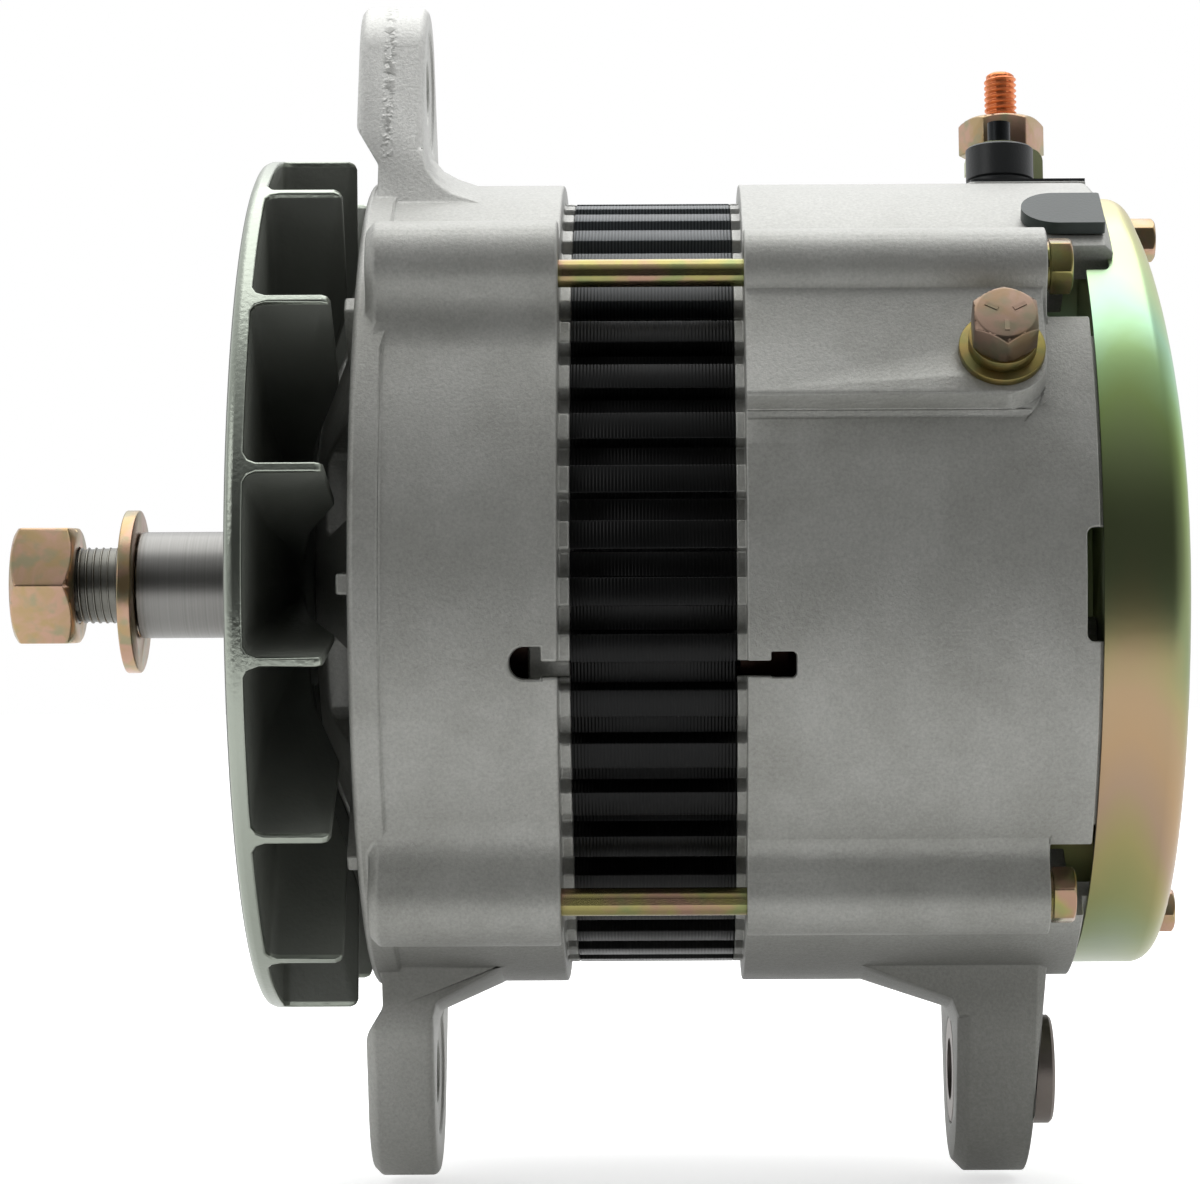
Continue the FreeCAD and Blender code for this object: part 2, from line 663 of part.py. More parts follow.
def earth_disc(radius, z0, z1):
    body = pin(radius, pad_p + z0, pad_p + z1, earth_x, earth_t)
    return body.cut(pin(m8_r + loose, pad_p - past, pad_p + past, earth_x, earth_t))


def make_earth_washer():
    return turn(earth_disc(8.2, 0, earth_washer_t), pad_turn)


def make_earth_spring_washer():
    slit = block(earth_x, earth_x + 9, earth_t - 0.4, earth_t + 0.4, pad_p - past, pad_p + past)
    return turn(earth_disc(6.5, earth_washer_t, earth_seat - pad_p).cut(slit), pad_turn)


def make_rear_cover():
    inner = cover_r - cover_t
    bend = cover_corner - cover_t
    body = turned([(cover_edge, inner), (cover_edge, cover_r), (cover_back, cover_r, cover_corner),
                   (cover_back, 0), (cover_back - cover_t, 0), (cover_back - cover_t, inner - bend),
                   (cover_back - cover_t - bend, inner)], chords=False)
    notch_x = flat_end + 0.7
    soft = 1.6
    swing = math.degrees(soft / cover_r)
    low = cover_r - cover_t - past
    high = cover_r + past
    notch = turned([(cover_edge - 1, low), (cover_edge - 1, high), (notch_x - soft, high),
                    (notch_x - soft, low)], -24, 64)
    deep = turned([(cover_edge - 1, low), (cover_edge - 1, high), (notch_x, high), (notch_x, low)],
                  -24 + swing, 64 - 2 * swing)
    rounds = [turn(pin(soft, low, high, notch_x - soft), t) for t in (-24 + swing, 40 - swing)]
    vent = slab([(-2.5, plate_in - 2, 2.4), (2.5, plate_in - 2, 2.4), (2.5, plate_out - 8, 2.4),
                 (-2.5, plate_out - 8, 2.4)], cover_back - past, cover_back + past)
    cuts = [notch, deep] + rounds + around(vent, 12, 15)
    cuts.extend(turn(rod(cover_back - past, cover_back + past, 2.8, 0, screw_circle), t)
                for t in cover_turns)
    return body.cut(cuts)


def make_cover_screws():
    head = lay(hexagon(8, 3.2, bevel=0.6), cover_back, 0, screw_circle)
    screw = head.fuse(rod(cover_back - 12, cover_back + 0.1, 2.5, 0, screw_circle))
    return Part.makeCompound([turn(screw, t) for t in cover_turns])


def make_rubber_plug():
    head = raised([(plug_x, -plug_half, plug_half - 0.05), (plug_end, -plug_half, 0.6),
                   (plug_end, plug_half, 0.6), (plug_x, plug_half, plug_half - 0.05)],
                  plug_p, plug_p + 2.45)
    x0 = plug_x + 2.3
    x1 = plug_end - 3.7
    stem = raised([(x0, -3.5, 1), (x1, -3.5, 1), (x1, 3.5, 1), (x0, 3.5, 1)],
                  rear_inner_r - 0.5, plug_p + 0.3)
    return turn(head.fuse(stem), plug_turn)


def make_terminal_plate():
    body = terminal_flat(0.0, flat_p, terminal_p)
    body = body.cut([pin(sleeve_r + loose, flat_p - past, flat_p + past, output_x, output_t),
                     pin(signal_r + 0.5, flat_p - past, flat_p + past, signal_x, signal_t)])
    return turn(body, flat_turn)


def make_signal_bushing():
    low = terminal_p
    bore = signal_r + running
    body = upright([(bore, low - 6), (signal_r + 0.4, low - 6), (signal_r + 0.4, low), (7.1, low),
                    (7.1, low + 1.0), (6.7, low + 1.3), (7.1, low + 1.6),
                    (7.1, low + signal_h - 0.4), (6.7, low + signal_h), (bore, low + signal_h)],
                   signal_x, signal_t)
    return turn(body, flat_turn)


def make_signal_washer():
    low = terminal_p + signal_h
    body = pin(5.0, low, low + 0.6, signal_x, signal_t)
    body = body.cut(pin(signal_r + running, low - past, low + past, signal_x, signal_t))
    return turn(body, flat_turn)


def make_signal_post():
    return turn(pin(signal_r, rear_inner_r - 3.5, terminal_p + 14.1, signal_x, signal_t), flat_turn)


def make_output_bushing():
    bore = stud_root_r + running
    top = terminal_p + bushing_h
    body = upright([(bore, tab_p + 3), (sleeve_r, tab_p + 3), (sleeve_r, terminal_p),
                    (sleeve_r + 0.4, terminal_p), (sleeve_r + 0.4, top), (bore, top)],
                   output_x, output_t)
    return turn(body, flat_turn)


def make_output_strap():
    low = terminal_p + bushing_h
    top = low + strap_t
    leg = output_x + 5.2
    body = rib([(output_x - 7.5, low), (output_x - 7.5, top), (leg + strap_t, top, strap_t),
                (leg + strap_t, terminal_p), (leg, terminal_p), (leg, low, 0.8)],
               output_t - 6.5, output_t + 6.5)
    return turn(body.cut(pin(stud_root_r + loose, low - past, top + past, output_x, output_t)), flat_turn)


def make_output_nut():
    body = hexagon(16, output_nut_h, bevel=1.0)
    body = body.cut(pin(stud_root_r + running, -past, output_nut_h + past))
    body.translate(V(output_x, output_t, terminal_p + bushing_h + strap_t))
    return turn(body, flat_turn)


def make_output_stud():
    nut_top = terminal_p + bushing_h + strap_t + output_nut_h
    head = hexagon(10, 5.0)
    head.translate(V(output_x, output_t, tab_p - 5))
    shank = upright([(0, tab_p - 0.5), (stud_root_r, tab_p - 0.5), (stud_root_r, nut_top + 0.1),
                     (stud_r, nut_top + 0.1), (stud_r, stud_top - 0.8), (stud_r - 1.2, stud_top),
                     (0, stud_top)], output_x, output_t)
    return turn(head.fuse(shank), flat_turn)


def make_front_bearing_outer():
    return bearing_outer(front_bearing_x, front_bearing_x + front_bearing_w, bearing_seat_r + 4,
                         front_bearing_r)


def make_front_bearing_inner():
    return ring(front_bearing_x, front_bearing_x + front_bearing_w, bearing_seat_r + press,
                bearing_seat_r + 4)


def make_bearing_retainer():
    seat = front_bearing_x + front_bearing_w
    body = ring(seat, seat + 2.5, front_bearing_r - 11, nose_r - 1)
    return body.cut(around(rod(seat - 1, seat + past, 2.3, 0, retainer_circle), 3))


def make_retainer_screws():
    seat = front_bearing_x + front_bearing_w + 2.5
    shank = rod(seat - 11.5, seat, 2.0, 0, retainer_circle)
    return Part.makeCompound(around(shank.fuse(rod(seat, seat + 2.4, 3.5, 0, retainer_circle)), 3))


def claws(x_root, x_full, x_tip, first):
    """Six tapering pole fingers standing round the shaft."""
    plan = raised([(x_root, -15.5), (x_full, -15.5), (x_tip, -5), (x_tip, 5), (x_full, 15.5),
                   (x_root, 15.5)], claw_inner_r - 16.5, claw_r + 5)
    finger = plan.common(ring(min(x_root, x_tip), max(x_root, x_tip), claw_inner_r, claw_r))
    foot = plan.common(ring(min(x_root, x_full), max(x_root, x_full), claw_inner_r - 2.5,
                            claw_inner_r + 1))
    return around(finger.fuse(foot), 6, first)


def make_claw_pole_driven():
    disc_end = pole_front + pole_disc
    disc = ring(pole_front, disc_end, pole_seat_r + press, claw_inner_r - 0.5)
    return disc.fuse(claws(pole_front, disc_end, pole_rear - 4, 0)).removeSplitter()


def make_claw_pole_floating():
    hoop_x = pole_rear - pole_disc
    hoop = ring(hoop_x, pole_rear, core_r + 0.5, claw_inner_r - 0.5)
    return hoop.fuse(claws(pole_rear, hoop_x, pole_front + 4, 30)).removeSplitter()


def make_pole_ring():
    return ring(pole_front + pole_disc + 6, pole_rear - pole_disc - 6, claw_inner_r - 3,
                claw_inner_r - press)


def make_field_core():
    x0 = pole_front + pole_disc + 0.6
    flange_x = pole_rear - pole_disc + 1.5
    body = turned([(x0, core_journal_r + 1.5), (x0, core_r - 17), (flange_x, core_r - 17),
                   (flange_x, core_r), (pole_rear, core_r), (pole_rear, core_r - 12),
                   (bulkhead_x - 6, core_r - 12), (bulkhead_x - 6, core_r - 3),
                   (bulkhead_x, core_r - 3), (bulkhead_x, core_journal_r + 1.5)])
    return body.cut(around(rod(bulkhead_x - 10, bulkhead_x + past, 3.05, 0, core_screw_circle), 4, 45))


def make_field_coil():
    x0 = pole_front + pole_disc + 2
    x1 = pole_rear - pole_disc + 1.4
    return ring(x0, x1, core_r - 17 + press, core_r - 0.5)


def make_core_screws():
    head = lay(hexagon(10, 3.5), bulkhead_rear, 0, core_screw_circle)
    screw = head.fuse(rod(bulkhead_x - 5.5, bulkhead_rear + 0.1, 3.0, 0, core_screw_circle))
    return Part.makeCompound(around(screw, 4, 45))


def make_rear_bearing_outer():
    return bearing_outer(bulkhead_rear, bulkhead_rear + rear_bearing_w, rear_seat_r + 3,
                         rear_bearing_r)


def make_rear_bearing_inner():
    return ring(bulkhead_rear, bulkhead_rear + rear_bearing_w, rear_seat_r + press, rear_seat_r + 3)


def make_shaft_seal():
    return ring(bulkhead_x + 0.5, bulkhead_rear - 0.1, seal_r + loose, seal_out - press)


def rectifier_plate(x0, seats):
    """Horseshoe heat-sink plate with holes for its screws and diodes."""
    body = turned([(x0, plate_in), (x0, plate_out), (x0 + plate_t, plate_out),
                   (x0 + plate_t, plate_in)], -plate_reach, 2 * plate_reach)
    cuts = [turn(rod(x0 - 1, x0 + past, 2.8, 0, plate_circle), t) for t in plate_turns]
    cuts.extend(turn(rod(x0 - 1, x0 + past, diode_r, 0, diode_circle), t) for t in seats)
    return body.cut(cuts)


def make_negative_plate():
    return rectifier_plate(negative_x, negative_seats)


def make_positive_plate():
    body = rectifier_plate(positive_x, positive_seats)
    tab = block(positive_x, output_x + 6.4, output_t - 6.5, output_t + 6.5, tab_p, tab_p + 3)
    tab = tab.cut(pin(stud_root_r + loose, tab_p - past, tab_p + past, output_x, output_t))
    return body.fuse(turn(tab, flat_turn)).removeSplitter()


def make_plate_insulators():
    sleeve = rod(negative_x + plate_t, positive_x, 5.0, 0, plate_circle)
    sleeve = sleeve.cut(rod(negative_x, positive_x + past, 2.6, 0, plate_circle))
    return Part.makeCompound([turn(sleeve, t) for t in plate_turns])


def make_plate_screws():
    seat = positive_x + plate_t
    head = lay(hexagon(8, 3.5), seat, 0, plate_circle)
    screw = head.fuse(rod(bulkhead_rear - 4, seat + 0.1, 2.5, 0, plate_circle))
    return Part.makeCompound([turn(screw, t) for t in plate_turns])


def make_diodes():
    cans = []
    for x0, seats in ((negative_x, negative_seats), (positive_x, positive_seats)):
        can = rod(x0 - 1.5, x0 + plate_t + 1.5, diode_r - press, 0, diode_circle)
        lead = rod(x0 + plate_t + 1.5, x0 + plate_t + 3.5, 1.2, 0, diode_circle)
        cans.extend(turn(can.fuse(lead), t) for t in seats)
    return Part.makeCompound(cans)


def make_regulator():
    end = bulkhead_rear + 17
    return rib([(bulkhead_rear, -plate_out + 2), (bulkhead_rear, -plate_in - 2), (end, -plate_in - 2, 2),
                (end, -plate_out + 2, 2)], -15, 30)


pieces = {
    "rotor_shaft": make_rotor_shaft,
    "shaft_nut": make_shaft_nut,
    "shaft_washer": make_shaft_washer,
    "fan": make_fan,
    "fan_spacer": make_fan_spacer,
    "front_housing": make_front_housing,
    "stator_core": make_stator_core,
    "stator_winding": make_stator_winding,
    "rear_housing": make_rear_housing,
    "foot_bush": make_foot_bush,
    "through_bolts": make_through_bolts,
    "earth_bolt": make_earth_bolt,
    "earth_washer": make_earth_washer,
    "earth_spring_washer": make_earth_spring_washer,
    "rear_cover": make_rear_cover,
    "cover_screws": make_cover_screws,
    "rubber_plug": make_rubber_plug,
    "terminal_plate": make_terminal_plate,
    "signal_bushing": make_signal_bushing,
    "signal_washer": make_signal_washer,
    "signal_post": make_signal_post,
    "output_bushing": make_output_bushing,
    "output_strap": make_output_strap,
    "output_nut": make_output_nut,
    "output_stud": make_output_stud,
    "front_bearing_outer": make_front_bearing_outer,
    "front_bearing_inner": make_front_bearing_inner,
    "bearing_retainer": make_bearing_retainer,
    "retainer_screws": make_retainer_screws,
    "claw_pole_driven": make_claw_pole_driven,
    "claw_pole_floating": make_claw_pole_floating,
    "pole_ring": make_pole_ring,
    "field_core": make_field_core,
    "field_coil": make_field_coil,
    "core_screws": make_core_screws,
    "rear_bearing_outer": make_rear_bearing_outer,
    "rear_bearing_inner": make_rear_bearing_inner,
    "shaft_seal": make_shaft_seal,
    "negative_plate": make_negative_plate,
    "positive_plate": make_positive_plate,
    "plate_insulators": make_plate_insulators,
    "plate_screws": make_plate_screws,
    "diodes": make_diodes,
    "regulator": make_regulator,
}

for name, make in pieces.items():
    make().exportStep("parts/" + name + ".step")
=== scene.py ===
import json
import math
import bpy
from mathutils import Matrix, Vector


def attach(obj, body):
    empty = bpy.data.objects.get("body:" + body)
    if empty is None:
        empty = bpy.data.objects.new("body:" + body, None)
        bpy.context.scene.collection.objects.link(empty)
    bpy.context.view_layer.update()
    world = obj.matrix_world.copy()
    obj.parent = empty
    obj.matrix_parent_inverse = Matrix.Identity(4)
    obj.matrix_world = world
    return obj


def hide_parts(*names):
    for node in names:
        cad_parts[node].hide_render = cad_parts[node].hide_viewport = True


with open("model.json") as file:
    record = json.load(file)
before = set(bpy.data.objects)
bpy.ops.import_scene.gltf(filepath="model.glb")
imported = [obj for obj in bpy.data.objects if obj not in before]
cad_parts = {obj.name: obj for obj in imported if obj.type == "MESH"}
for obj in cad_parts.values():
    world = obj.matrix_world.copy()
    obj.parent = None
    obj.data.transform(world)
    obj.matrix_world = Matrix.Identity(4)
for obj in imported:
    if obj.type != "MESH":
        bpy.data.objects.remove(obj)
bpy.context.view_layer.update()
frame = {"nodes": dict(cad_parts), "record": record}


# Camera: level with the shaft and square to the side, as far off as the photograph's
# foreshortening says. The small roll is the photograph's own.
camera_distance = 0.770
lens = bpy.data.cameras.new("camera")
lens.lens = 110.5
lens.sensor_width = 36.0
lens.shift_x = -0.0583
lens.shift_y = -0.0079
camera = bpy.data.objects.new("camera", lens)
camera.location = (0.083, -camera_distance, 0.0)
camera.rotation_euler = (math.radians(90), math.radians(0.3), 0)
bpy.context.scene.collection.objects.link(camera)
bpy.context.scene.camera = camera
bpy.context.scene.view_settings.view_transform = "Standard"


# Studio: a white table whose front edge is 0.34 m before the object, a soft box overhead, a
# bright wall behind, and a room that is dark toward the viewer, so that round metal is bright
# above and below and dark in the middle.
middle = 0.08
floor_size = 3.2
floor_height = -0.1248


def srgb(code):
    """Linear colour from an sRGB hex code."""
    parts = [int(code[i:i + 2], 16) / 255 for i in (1, 3, 5)]
    return [p / 12.92 if p <= 0.04045 else ((p + 0.055) / 1.055) ** 2.4 for p in parts] + [1.0]


def node(tree, kind, settings=None, links=None):
    """Adds a node, sets its inputs or properties, and links other nodes' outputs to its inputs."""
    made = tree.nodes.new(kind)
    for key, value in (settings or {}).items():
        if isinstance(key, int) or key in made.inputs:
            made.inputs[key].default_value = value
        else:
            setattr(made, key, value)
    for key, source in (links or {}).items():
        tree.links.new(source, made.inputs[key])
    return made


def plain_tree(name):
    """Material with an empty node tree."""
    made = bpy.data.materials.new(name)
    made.use_nodes = True
    made.node_tree.nodes.clear()
    return made, made.node_tree


world = bpy.data.worlds.new("studio")
world.use_nodes = True
bpy.context.scene.world = world
tree = world.node_tree
tree.nodes.clear()
path = node(tree, "ShaderNodeLightPath")
place = node(tree, "ShaderNodeTexCoord")
way = node(tree, "ShaderNodeSeparateXYZ", {}, {0: place.outputs["Generated"]})
depth = node(tree, "ShaderNodeMapRange",
             {"From Min": -0.3, "From Max": 0.7, "To Min": 0.05, "To Max": 0.95},
             {"Value": way.outputs["Y"]})
above = node(tree, "ShaderNodeMapRange",
             {"From Min": 0.4, "From Max": 1.0, "To Min": 0.0, "To Max": 0.7},
             {"Value": way.outputs["Z"]})
across = node(tree, "ShaderNodeMath", {"operation": "ABSOLUTE"}, {0: way.outputs["X"]})
aside = node(tree, "ShaderNodeMapRange",
             {"From Min": 0.45, "From Max": 1.0, "To Min": 0.0, "To Max": 0.45},
             {"Value": across.outputs[0]})
around = node(tree, "ShaderNodeMath", {"operation": "ADD"},
              {0: depth.outputs[0], 1: aside.outputs[0]})
level = node(tree, "ShaderNodeMath", {"operation": "ADD"},
             {0: around.outputs[0], 1: above.outputs[0]})
room = node(tree, "ShaderNodeBackground", {"Color": srgb("#f4f5f6")},
            {"Strength": level.outputs[0]})
seen = node(tree, "ShaderNodeBackground", {"Color": (1, 1, 1, 1), "Strength": 1.0})
mixed = node(tree, "ShaderNodeMixShader", {},
             {0: path.outputs["Is Camera Ray"], 1: room.outputs[0], 2: seen.outputs[0]})
node(tree, "ShaderNodeOutputWorld", {}, {"Surface": mixed.outputs[0]})

# White paper: flat white that keeps the object's soft shadow, and is a little brighter to the
# viewer and in the metal's reflections than the lamps make it.
bpy.ops.mesh.primitive_plane_add(size=floor_size, location=(middle, 1.17, floor_height))
floor = bpy.context.object
floor.name = "floor"
paper, tree = plain_tree("white_paper")
path = node(tree, "ShaderNodeLightPath")
mirrored = node(tree, "ShaderNodeMath", {"operation": "MULTIPLY", 1: 0.25},
                {0: path.outputs["Is Glossy Ray"]})
lift = node(tree, "ShaderNodeMath", {"operation": "MULTIPLY_ADD", 1: 0.6},
            {0: path.outputs["Is Camera Ray"], 2: mirrored.outputs[0]})
matte = node(tree, "ShaderNodeBsdfDiffuse", {"Color": srgb("#f0f0f0")})
glow = node(tree, "ShaderNodeEmission", {"Color": (1, 1, 1, 1)}, {"Strength": lift.outputs[0]})
both = node(tree, "ShaderNodeAddShader", {}, {0: matte.outputs[0], 1: glow.outputs[0]})
node(tree, "ShaderNodeOutputMaterial", {}, {"Surface": both.outputs[0]})
floor.data.materials.append(paper)

for name, place, aim, size, power in (
        ("top", (middle, 0.20, 0.95), (middle, 0.0, 0.0), 1.1, 5.5),
        ("behind", (middle, 1.6, 1.25), (middle, 0.0, 0.0), 1.2, 2.5),
        ("left", (-0.9, -0.7, 0.5), (0.0, 0.0, 0.0), 0.5, 1.2)):
    light = bpy.data.lights.new(name, "AREA")
    light.shape = "SQUARE"
    light.size = size
    light.energy = power
    lamp = bpy.data.objects.new(name, light)
    lamp.location = place
    bpy.context.scene.collection.objects.link(lamp)
    toward = [a - p for a, p in zip(aim, place)]
    length = math.sqrt(sum(t * t for t in toward))
    lamp.rotation_euler = (math.acos(-toward[2] / length), 0,
                           math.atan2(toward[1], toward[0]) - math.radians(90))


# Front and rear castings: cast aluminium, machined at the joint faces and then shot-blasted, so
# the edges are slightly rounded, the surface is finely pitted and the grey drifts a little from
# place to place. Four long bolts draw them together over the stator.
drum_radius = 0.0826
bolt_circle = 0.0856
ear_height = 0.1026
foot_height = -0.102
seam_x = 0.0263


def alone(piece):
    """Makes a piece the only one selected, and the active one."""
    bpy.ops.object.select_all(action="DESELECT")
    piece.select_set(True)
    bpy.context.view_layer.objects.active = piece


def softened(name, width, angle=35):
    """Copy of a CAD node with triangles joined, flat faces cleared and sharp edges rounded."""
    piece = frame["nodes"][name].copy()
    piece.data = piece.data.copy()
    piece.name = name + "_finished"
    for key in [k for k in piece.keys() if k.startswith("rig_")]:
        del piece[key]
    bpy.context.scene.collection.objects.link(piece)
    alone(piece)
    bpy.ops.object.mode_set(mode="EDIT")
    bpy.ops.mesh.select_all(action="SELECT")
    bpy.ops.mesh.remove_doubles(threshold=0.000005)
    bpy.ops.mesh.dissolve_limited(angle_limit=math.radians(0.6))
    bpy.ops.object.mode_set(mode="OBJECT")
    if width > 0:
        bevel = piece.modifiers.new("edges", "BEVEL")
        bevel.width = width
        bevel.segments = 2
        bevel.limit_method = "ANGLE"
        bevel.angle_limit = math.radians(angle)
        bevel.use_clamp_overlap = False
        bpy.ops.object.modifier_apply(modifier="edges")
    bpy.ops.object.shade_smooth_by_angle(angle=math.radians(40))
    return piece


def round_normals(piece, axes):
    """Gives faces on cylinders along the shaft their exact normals, so that they shade evenly."""
    mesh = piece.data
    normals = [n.vector.copy() for n in mesh.corner_normals]
    for face in mesh.polygons:
        corners = [mesh.vertices[v].co for v in face.vertices]
        for y, z in axes:
            arms = [Vector((0, corner.y - y, corner.z - z)) for corner in corners]
            lengths = [arm.length for arm in arms]
            facing = sum(arms, Vector()).normalized().dot(face.normal)
            if max(lengths) - min(lengths) < 0.00008 and abs(facing) > 0.98:
                for loop, arm in zip(face.loop_indices, arms):
                    normals[loop] = arm.normalized() * math.copysign(1.0, facing)
                break
    mesh.normals_split_custom_set(normals)


def finish(piece, material, body, slot, *nodes):
    """Gives a piece its material and body, and hides the CAD nodes it stands for; slot is unused.
    """
    piece.data.materials.clear()
    piece.data.materials.append(material)
    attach(piece, body)
    if nodes:
        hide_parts(*nodes)


def cast_aluminium():
    """Soft grey, painted light on top, painted shade below, cloudy stains and a rough ear seam."""
    made, tree = plain_tree("blasted_aluminium")
    place = node(tree, "ShaderNodeTexCoord")
    parts = node(tree, "ShaderNodeSeparateXYZ", {}, {0: place.outputs["Object"]})

    # Stains of some 26 mm between two greys.
    cloud = node(tree, "ShaderNodeTexNoise", {"Scale": 38.0, "Detail": 5.0, "Roughness": 0.62},
                 {"Vector": place.outputs["Object"]})
    stain = node(tree, "ShaderNodeMapRange",
                 {"From Min": 0.38, "From Max": 0.66, "To Max": 1.0},
                 {"Value": cloud.outputs[0]})
    tint = node(tree, "ShaderNodeMix",
                {"data_type": "RGBA", 6: srgb("#b3b3ae"), 7: srgb("#a2a29c")},
                {0: stain.outputs[0]})

    # Painted light on top of the drum, and painted shade under it.
    height = node(tree, "ShaderNodeMapRange", {"From Min": 0.052, "From Max": 0.085},
                  {"Value": parts.outputs["Z"]})
    upper = node(tree, "ShaderNodeMix", {"data_type": "RGBA", 7: srgb("#c2c2be")},
                 {0: height.outputs[0], 6: tint.outputs[2]})
    depth = node(tree, "ShaderNodeMapRange", {"From Min": -0.066, "From Max": -0.078},
                 {"Value": parts.outputs["Z"]})
    under = node(tree, "ShaderNodeMix", {"data_type": "RGBA", 7: srgb("#7d7d78")},
                 {0: depth.outputs[0], 6: upper.outputs[2]})

    # Plain grey front foot, painted shade on the rear foot, and painted light whitening the ear.
    back = node(tree, "ShaderNodeMapRange", {"From Min": 0.045, "From Max": 0.11},
                {"Value": parts.outputs["X"]})
    foot = node(tree, "ShaderNodeMix",
                {"data_type": "RGBA", 6: srgb("#aeaea9"), 7: srgb("#8a8a85")},
                {0: back.outputs[0]})
    leg = node(tree, "ShaderNodeMapRange", {"From Min": -0.083, "From Max": -0.092},
               {"Value": parts.outputs["Z"]})
    lower = node(tree, "ShaderNodeMix", {"data_type": "RGBA"},
                 {0: leg.outputs[0], 6: under.outputs[2], 7: foot.outputs[2]})
    ear = node(tree, "ShaderNodeMapRange", {"From Min": 0.083, "From Max": 0.092},
               {"Value": parts.outputs["Z"]})
    ear_painted_light = node(tree, "ShaderNodeMix", {"data_type": "RGBA", 7: srgb("#d8d8d4")},
                 {0: ear.outputs[0], 6: lower.outputs[2]})

    # The mould's parting seam over the ear, torn into crumbs of 1.6 mm.
    from_seam = node(tree, "ShaderNodeMath", {"operation": "SUBTRACT", 1: seam_x},
                     {0: parts.outputs["X"]})
    apart = node(tree, "ShaderNodeMath", {"operation": "ABSOLUTE"}, {0: from_seam.outputs[0]})
    near = node(tree, "ShaderNodeMapRange", {"From Min": 0.0016, "From Max": 0.0003},
                {"Value": apart.outputs[0]})
    above = node(tree, "ShaderNodeMapRange", {"From Min": 0.084, "From Max": 0.087},
                 {"Value": parts.outputs["Z"]})
    crumbs = node(tree, "ShaderNodeTexNoise", {"Scale": 620.0, "Detail": 2.0},
                  {"Vector": place.outputs["Object"]})
    torn = node(tree, "ShaderNodeMapRange", {"From Min": 0.45, "From Max": 0.6},
                {"Value": crumbs.outputs[0]})
    line = node(tree, "ShaderNodeMath", {"operation": "MULTIPLY"},
                {0: near.outputs[0], 1: above.outputs[0]})
    seam = node(tree, "ShaderNodeMath", {"operation": "MULTIPLY"},
                {0: line.outputs[0], 1: torn.outputs[0]})
    marked = node(tree, "ShaderNodeMix", {"data_type": "RGBA", 7: srgb("#b2b2ae")},
                  {0: seam.outputs[0], 6: ear_painted_light.outputs[2]})

    # Blasting pits of 0.7 mm, coarser than the real ones, which wouldn't show.
    grit = node(tree, "ShaderNodeTexNoise", {"Scale": 1500.0, "Detail": 3.0, "Roughness": 0.7},
                {"Vector": place.outputs["Object"]})
    speck = node(tree, "ShaderNodeMapRange",
                 {"From Min": 0.3, "From Max": 0.7, "To Min": 0.86, "To Max": 1.1},
                 {"Value": grit.outputs[0]})
    toned = node(tree, "ShaderNodeVectorMath", {"operation": "SCALE"},
                 {0: marked.outputs[2], "Scale": speck.outputs[0]})
    ridge = node(tree, "ShaderNodeMath", {"operation": "MULTIPLY_ADD", 1: 2.0},
                 {0: seam.outputs[0], 2: grit.outputs[0]})
    bump = node(tree, "ShaderNodeBump", {"Strength": 0.45, "Distance": 0.00025},
                {"Height": ridge.outputs[0]})
    shader = node(tree, "ShaderNodeBsdfPrincipled", {"Metallic": 0.5, "Roughness": 0.5},
                  {"Base Color": toned.outputs[0], "Normal": bump.outputs[0]})
    node(tree, "ShaderNodeOutputMaterial", {}, {"Surface": shader.outputs[0]})
    return made


def boss_axes(boss, blend):
    """Axes of the four bolt bosses and of the hollow blends beside them."""
    far = drum_radius + blend
    swing = math.acos((bolt_circle ** 2 + far ** 2 - (boss + blend) ** 2)
                      / (2 * bolt_circle * far))
    found = []
    for i in range(4):
        centre = math.radians(45 + 90 * i)
        for length, angle in ((bolt_circle, centre), (far, centre - swing), (far, centre + swing)):
            found.append((-length * math.sin(angle), length * math.cos(angle)))
    return found


casting = cast_aluminium()
front = softened("front_housing", 0.0005)
round_normals(front, [(0, 0), (0, ear_height), (0, foot_height)] + boss_axes(0.0093, 0.012))
finish(front, casting, "housing", "cast", "front_housing")
rear = softened("rear_housing", 0.0003)
round_normals(rear, [(0, 0), (0, foot_height)] + boss_axes(0.0075, 0.007))
finish(rear, casting, "housing", "cast", "rear_housing")


# Fan: a casting clamped on the shaft against its spacer, painted dark all over. Its outside
# diameter is turned afterwards, so the rim and the blade ends are bare and light.
turned_radius = 0.0866


